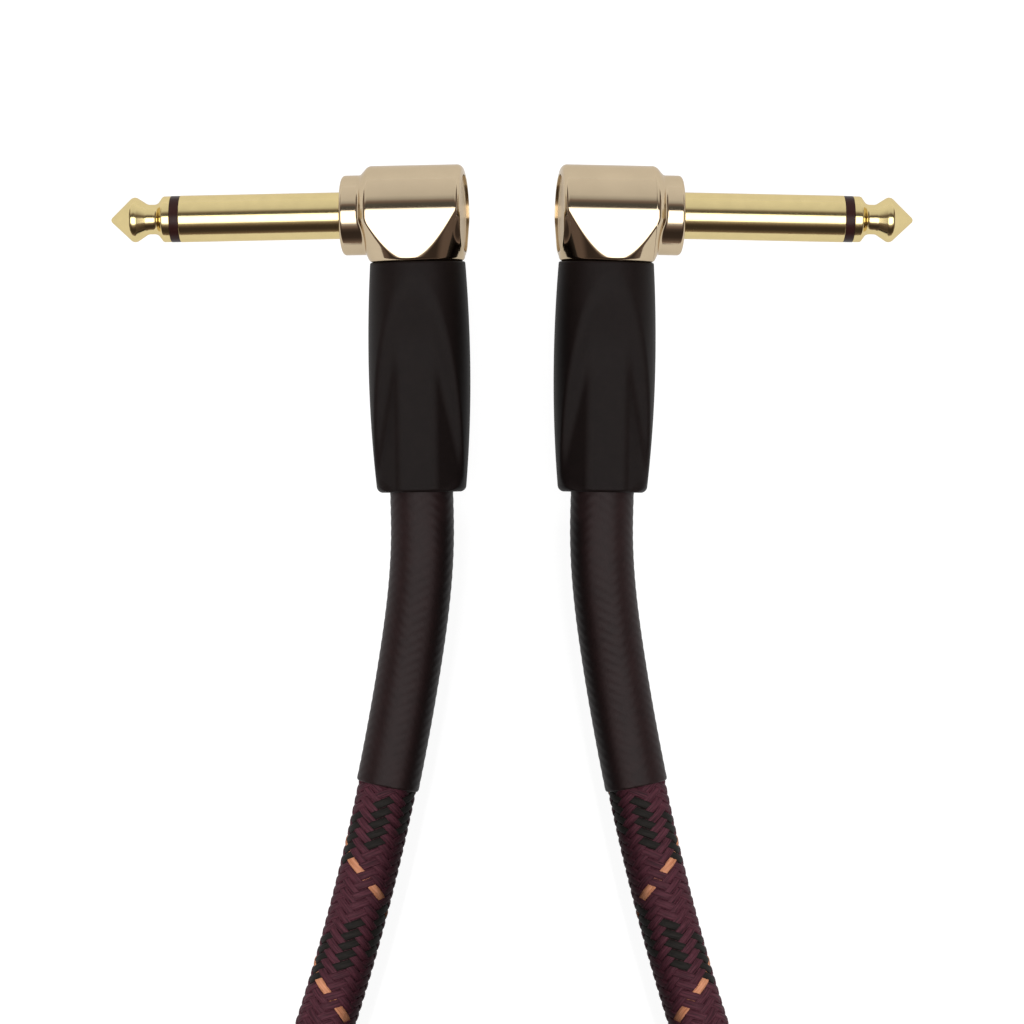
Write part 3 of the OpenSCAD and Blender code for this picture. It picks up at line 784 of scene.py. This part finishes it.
def make_boots():
    """Even rows from the mouth to the foot, and the bore's rows inside them."""
    columns, row_gap = 288, 0.15
    walls_from, walls_to, foot_zone, foot_rows = 0.3, BOOT_LEN - 1.4, 1.3, 16
    inner_limit, outer_limit = 3.0, 8.0
    mouth_s, mouth_in = np.array(MOUTH_ROWS).T
    s = np.concatenate([mouth_s, np.arange(walls_from, walls_to, row_gap),
                        BOOT_LEN - foot_zone + foot_zone * np.sin(np.linspace(0, math.pi / 2, foot_rows))])
    a = full_circle(columns)
    ss, aa = np.meshgrid(s, a, indexing="ij")
    r = crossing(lambda r: boot_field(r * np.sin(aa), r * np.cos(aa), ss) < 0,
                 np.full(ss.shape, inner_limit), np.full(ss.shape, outer_limit), halvings=30)
    r[:len(mouth_in)] -= mouth_in[:, None]
    r[-1] = np.minimum(r[-1], FOOT_FACE_R)
    bore = np.array([(BOOT_LEN, FOOT_BORE_R), (BOOT_LEN - FOOT_BORE_EDGE, CABLE_BORE_R),
                     (SOCKET_LEN, CABLE_BORE_R), (SOCKET_LEN, SOCKET_R), (0.0, SOCKET_R)])
    rows_s, rows_r = (np.concatenate([rows, np.repeat(bore[:, k:k + 1], columns, axis=1)])
                      for k, rows in ((0, ss), (1, r)))
    points = np.stack([rows_r * np.sin(a), -NECK_DROP - rows_s, rows_r * np.cos(a)], -1).reshape(-1, 3)
    both_plugs("boot_cover", points, grid(len(rows_s), columns, closed_rings=True), "boot_rubber", "boot")


make_boots()

# ---------------------------------------------------------------- finishes of the CAD nodes
SLOTS = {part["node"]: part["material_slot"] for part in frame["record"]["subparts"]}
SLOTS["cable_cover"] = "cable_jacket"
for name, node in frame["nodes"].items():
    node.data.materials.clear()
    node.data.materials.append(MATERIALS[SLOTS[name]])

# ---------------------------------------------------------------- floor and light
# How bright the floor looks to the camera, to reflections, and as light on the part
FLOOR_SEEN, FLOOR_MIRRORED, FLOOR_LIGHT = 0.95, 0.68, 0.1
WHITE = (1, 1, 1)
WARM = (1.2, 0.92, 0.85)
STRIP = 3.2
# The studio's light by angle from straight up, in degrees, with its tint
AHEAD = [
    (-90, 0.24, WARM), (-80, 0.1, WARM), (-70, 0.045, WARM), (-52, 0.04, WARM), (-43, 0.07, WARM),
    (-34, 0.22, WARM), (-27, 0.6, WHITE), (-22, STRIP, WHITE), (10, STRIP, WHITE), (14, 0.09, WHITE),
    (24, 0.11, WHITE), (30, 0.2, WARM), (36, 0.55, WHITE), (44, 0.78, WHITE), (60, 0.85, WHITE),
    (90, 0.93, WHITE)]
ASIDE = [(-90, 0.8, WHITE), (-80, 0.6, WHITE), (-70, 0.13, WARM), (70, 0.13, WARM), (80, 0.6, WHITE),
         (90, 0.8, WHITE)]
# Where the light ahead gives way to the light aside
AHEAD_TO, ASIDE_FROM = 44, 52


def make_floor():
    """A white floor that still takes the object's shadow."""
    size, base = 3.0, 0.2
    corners = [(-size, -size, 0), (size, -size, 0), (size, size, 0), (-size, size, 0)]
    floor = make_mesh("floor", corners, [[0, 1, 2, 3]], [])
    n = Nodes("floor")
    n.set(Roughness=0.9, Base_Color=grey(base), Emission_Color=grey(1))
    rays = n.add("ShaderNodeLightPath")
    through = n.math("MAXIMUM", rays.outputs["Is Glossy Ray"], rays.outputs["Is Transmission Ray"])
    seen = n.math("MAXIMUM", n.spread(rays.outputs["Is Camera Ray"], FLOOR_LIGHT, FLOOR_SEEN),
                  n.spread(through, FLOOR_LIGHT, FLOOR_MIRRORED))
    n.link(seen, n.shader.inputs["Emission Strength"])
    floor.data.materials.append(n.mat)


def make_flags():
    """Black cards that keep the inner sides dark: one between the plugs, and one over each cable."""
    n = Nodes("flag")
    n.set(Roughness=1.0, Specular_IOR_Level=0.0, Base_Color=grey(0.07))
    near, far, low, near_top, far_top = -0.11, 0.012, 0.001, 0.08, 0.03
    corners = [(0, near, low), (0, far, low), (0, far, far_top), (0, near, near_top)]
    # The ribbons: from where to where, and their edges by how far aside and above the cable's line
    first, last, stations = 4, 78, 38
    foot, head = (5.8, -2.9), (2.3, 6.6)
    p, _, _, right = LINE.frame(np.linspace(first, last, stations))
    edges = [p + right * aside + np.array([0, 0, above]) for aside, above in (foot, head)]
    ribbon = np.stack(edges, 1).reshape(-1, 3) * MM
    faces = 2 * np.arange(len(p) - 1)[:, None] + np.array([[0, 1, 3, 2]])
    for name, points, faces in (("flag", corners, [[0, 1, 2, 3]]), ("left_ribbon", ribbon, faces),
                                ("right_ribbon", *mirrored(ribbon, faces))):
        card = make_mesh(name, points, faces, [n.mat])
        card.visible_camera = card.visible_glossy = False


def make_world():
    """A pale studio: a softbox overhead, a dark gap round it, and pale walls."""
    world = bpy.data.worlds.new("studio")
    bpy.context.scene.world = world
    world.use_nodes = True
    n = Nodes(tree=world.node_tree)
    split = n.add("ShaderNodeSeparateXYZ")
    n.link(n.add("ShaderNodeTexCoord").outputs["Generated"], split.inputs["Vector"])

    def half_turn(angle):
        """An angle from -90 to 90 degrees, as 0 to 1."""
        return n.math("MULTIPLY_ADD", angle, 1 / math.pi, 0.5)

    def stops(lights, full):
        return [((degrees + 90) / 180, tuple(value / full * c for c in tint) + (1,))
                for degrees, value, tint in lights]

    ahead = half_turn(n.math("ARCTAN2", split.outputs["Y"], split.outputs["Z"]))
    aside = half_turn(n.math("ARCSINE", split.outputs["X"]))
    tone = n.ramp(ahead, stops(AHEAD, STRIP))
    ends = n.ramp(aside, stops([(-90, 1, WHITE), (-ASIDE_FROM, 1, WHITE), (-AHEAD_TO, 0, WHITE),
                                (AHEAD_TO, 0, WHITE), (ASIDE_FROM, 1, WHITE), (90, 1, WHITE)], 1))
    room = n.mix(ends, tone, n.ramp(aside, stops(ASIDE, STRIP)))
    camera = n.add("ShaderNodeLightPath").outputs["Is Camera Ray"]
    back = n.tree.nodes["Background"]
    n.link(n.mix(camera, room, grey(1 / STRIP)), back.inputs["Color"])
    back.inputs["Strength"].default_value = STRIP


make_floor()
make_flags()
make_world()
